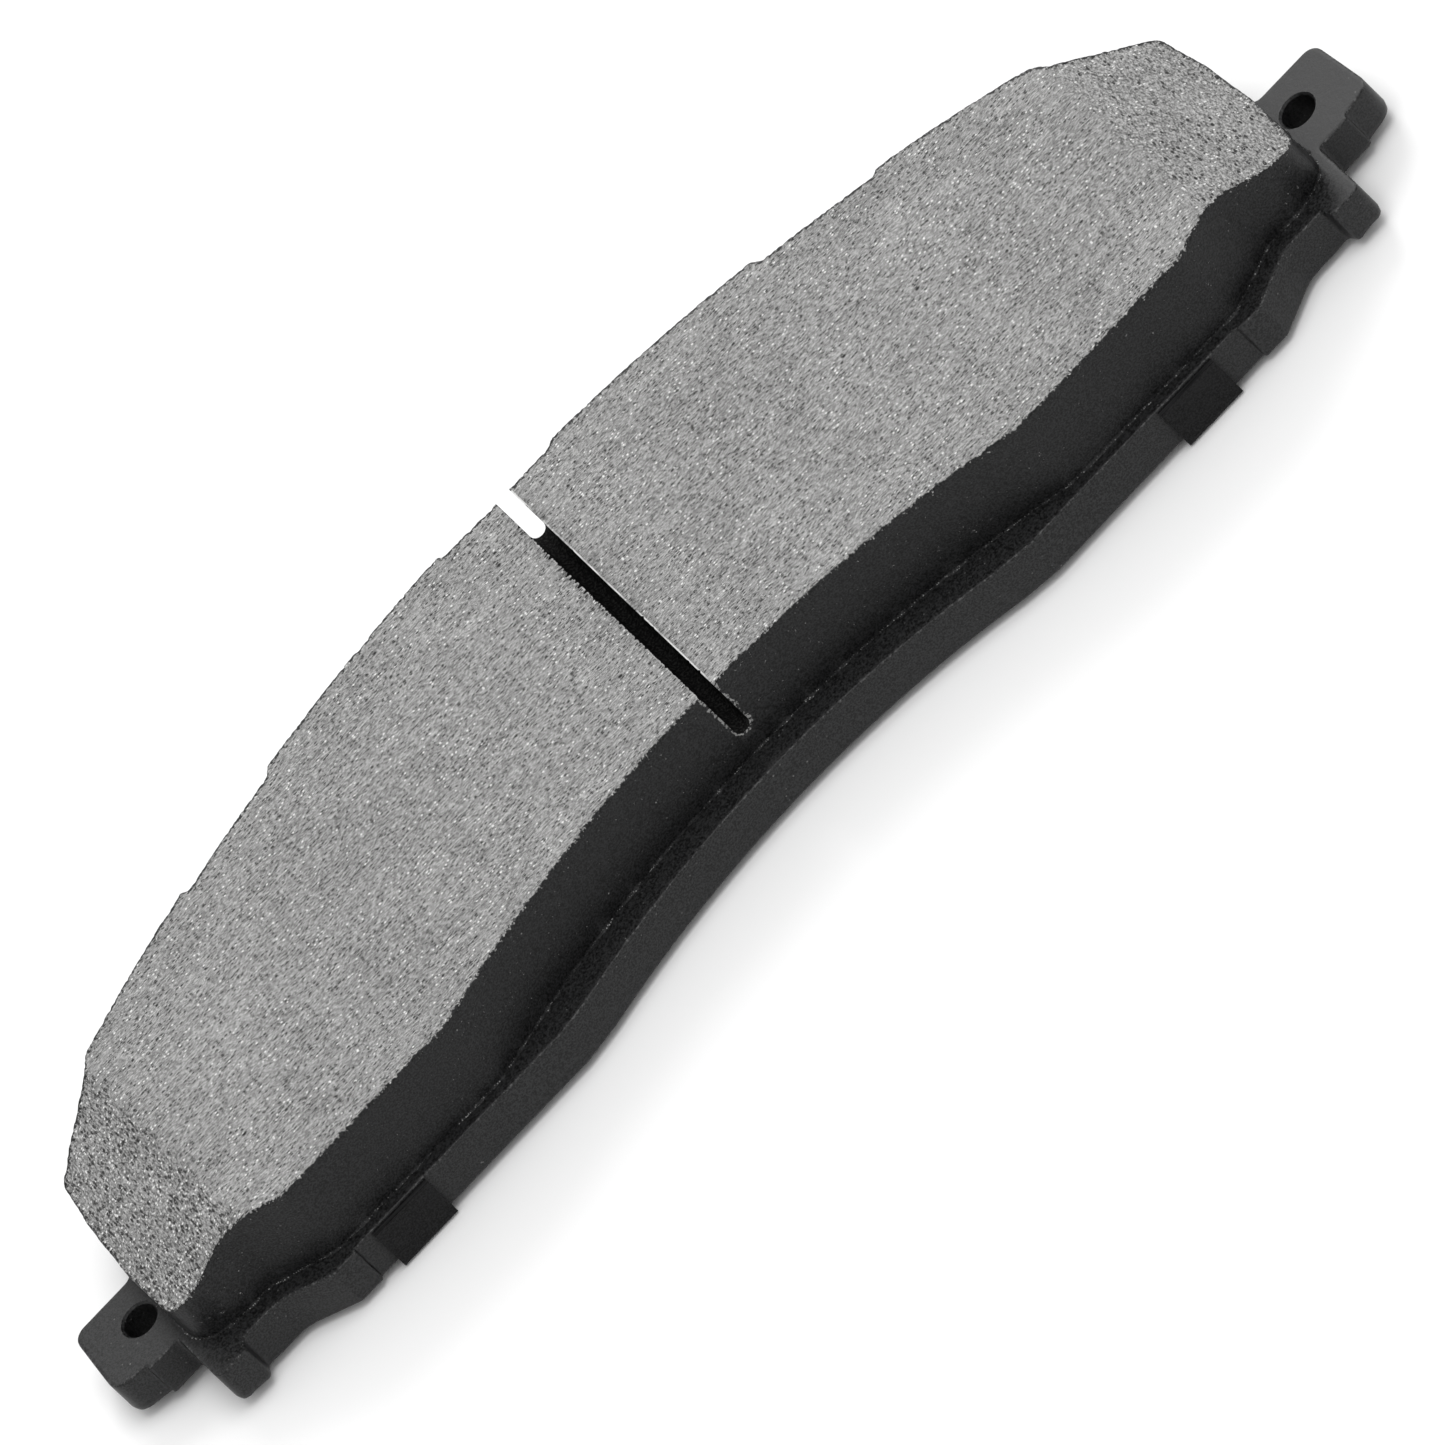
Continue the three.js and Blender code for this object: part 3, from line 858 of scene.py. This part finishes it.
def make_camera(hole_middle):
    """Looks down on the friction face from the near side, rolled so that the pad runs diagonally."""
    tilt, roll = math.radians(VIEW_TILT), math.radians(VIEW_ROLL)
    back = Vector((0, -math.sin(tilt), math.cos(tilt)))
    down = Vector((0, -math.cos(tilt), -math.sin(tilt)))
    across = Vector((1, 0, 0))
    right = across * math.cos(roll) + down * math.sin(roll)
    up = across * math.sin(roll) - down * math.cos(roll)
    data = bpy.data.cameras.new("camera")
    data.sensor_width = SENSOR
    data.lens = LENS
    data.clip_end = 2 * VIEW_WIDTH * LENS / SENSOR
    camera = bpy.data.objects.new("camera", data)
    aim = hole_middle + across * AIM_ACROSS + down * AIM_DOWN
    distance = VIEW_WIDTH * LENS / SENSOR
    rotation = Matrix((right, up, back)).transposed().to_4x4()
    camera.matrix_world = Matrix.Translation(aim + back * distance) @ rotation
    bpy.context.scene.collection.objects.link(camera)
    bpy.context.scene.camera = camera


# ---- Build ----

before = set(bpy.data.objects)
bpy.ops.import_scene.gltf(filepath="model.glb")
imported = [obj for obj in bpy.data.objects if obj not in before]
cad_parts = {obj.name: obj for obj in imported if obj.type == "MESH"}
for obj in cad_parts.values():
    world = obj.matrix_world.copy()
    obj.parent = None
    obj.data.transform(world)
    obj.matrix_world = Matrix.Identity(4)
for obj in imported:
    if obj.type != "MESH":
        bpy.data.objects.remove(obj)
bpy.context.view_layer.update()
PLATE_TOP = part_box("backing_plate")[1][2]

plate_loops = face_loops("backing_plate", PLATE_TOP)
plate_outline = plate_loops[0]
plate_holes = plate_loops[1:]
ear_holes = [hole for hole in plate_holes if abs(hole[:, 0].mean()) > END_START]
key_holes = [hole for hole in plate_holes if abs(hole[:, 0].mean()) <= END_START]
hole_line = float(np.mean([hole[:, 1].mean() for hole in ear_holes]))
make_camera(Vector((0, hole_line, PLATE_TOP)))
make_lights()
make_floor(floor_material())

lining_outline = face_loops("friction_lining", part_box("friction_lining")[0][2])[0]
friction_mix = friction_material()
block = friction_lining(lining_outline, friction_mix)
cut(block, slot_cutter().build("slot_cutter", slot_material()))
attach(block, "root")
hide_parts("friction_lining")

base = underlayer(lining_outline, key_holes, underlayer_material())
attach(base, "root")
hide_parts("underlayer")

fine_holes = [resample(hole, HOLE_STEP) for hole in plate_holes]
plate = backing_plate(plate_outline, fine_holes, powder_coat_material())
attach(plate, "root")
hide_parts("backing_plate")

for node, material in (
    ("bonding_adhesive", adhesive_material()),
    ("shim_adhesive", adhesive_material()),
    ("shim_inner_rubber", rubber_material()),
    ("shim_core", steel_material()),
    ("shim_outer_rubber", rubber_material()),
):
    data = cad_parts[node].data
    data.materials.clear()
    data.materials.append(material)

bpy.context.scene.view_settings.view_transform = "Standard"
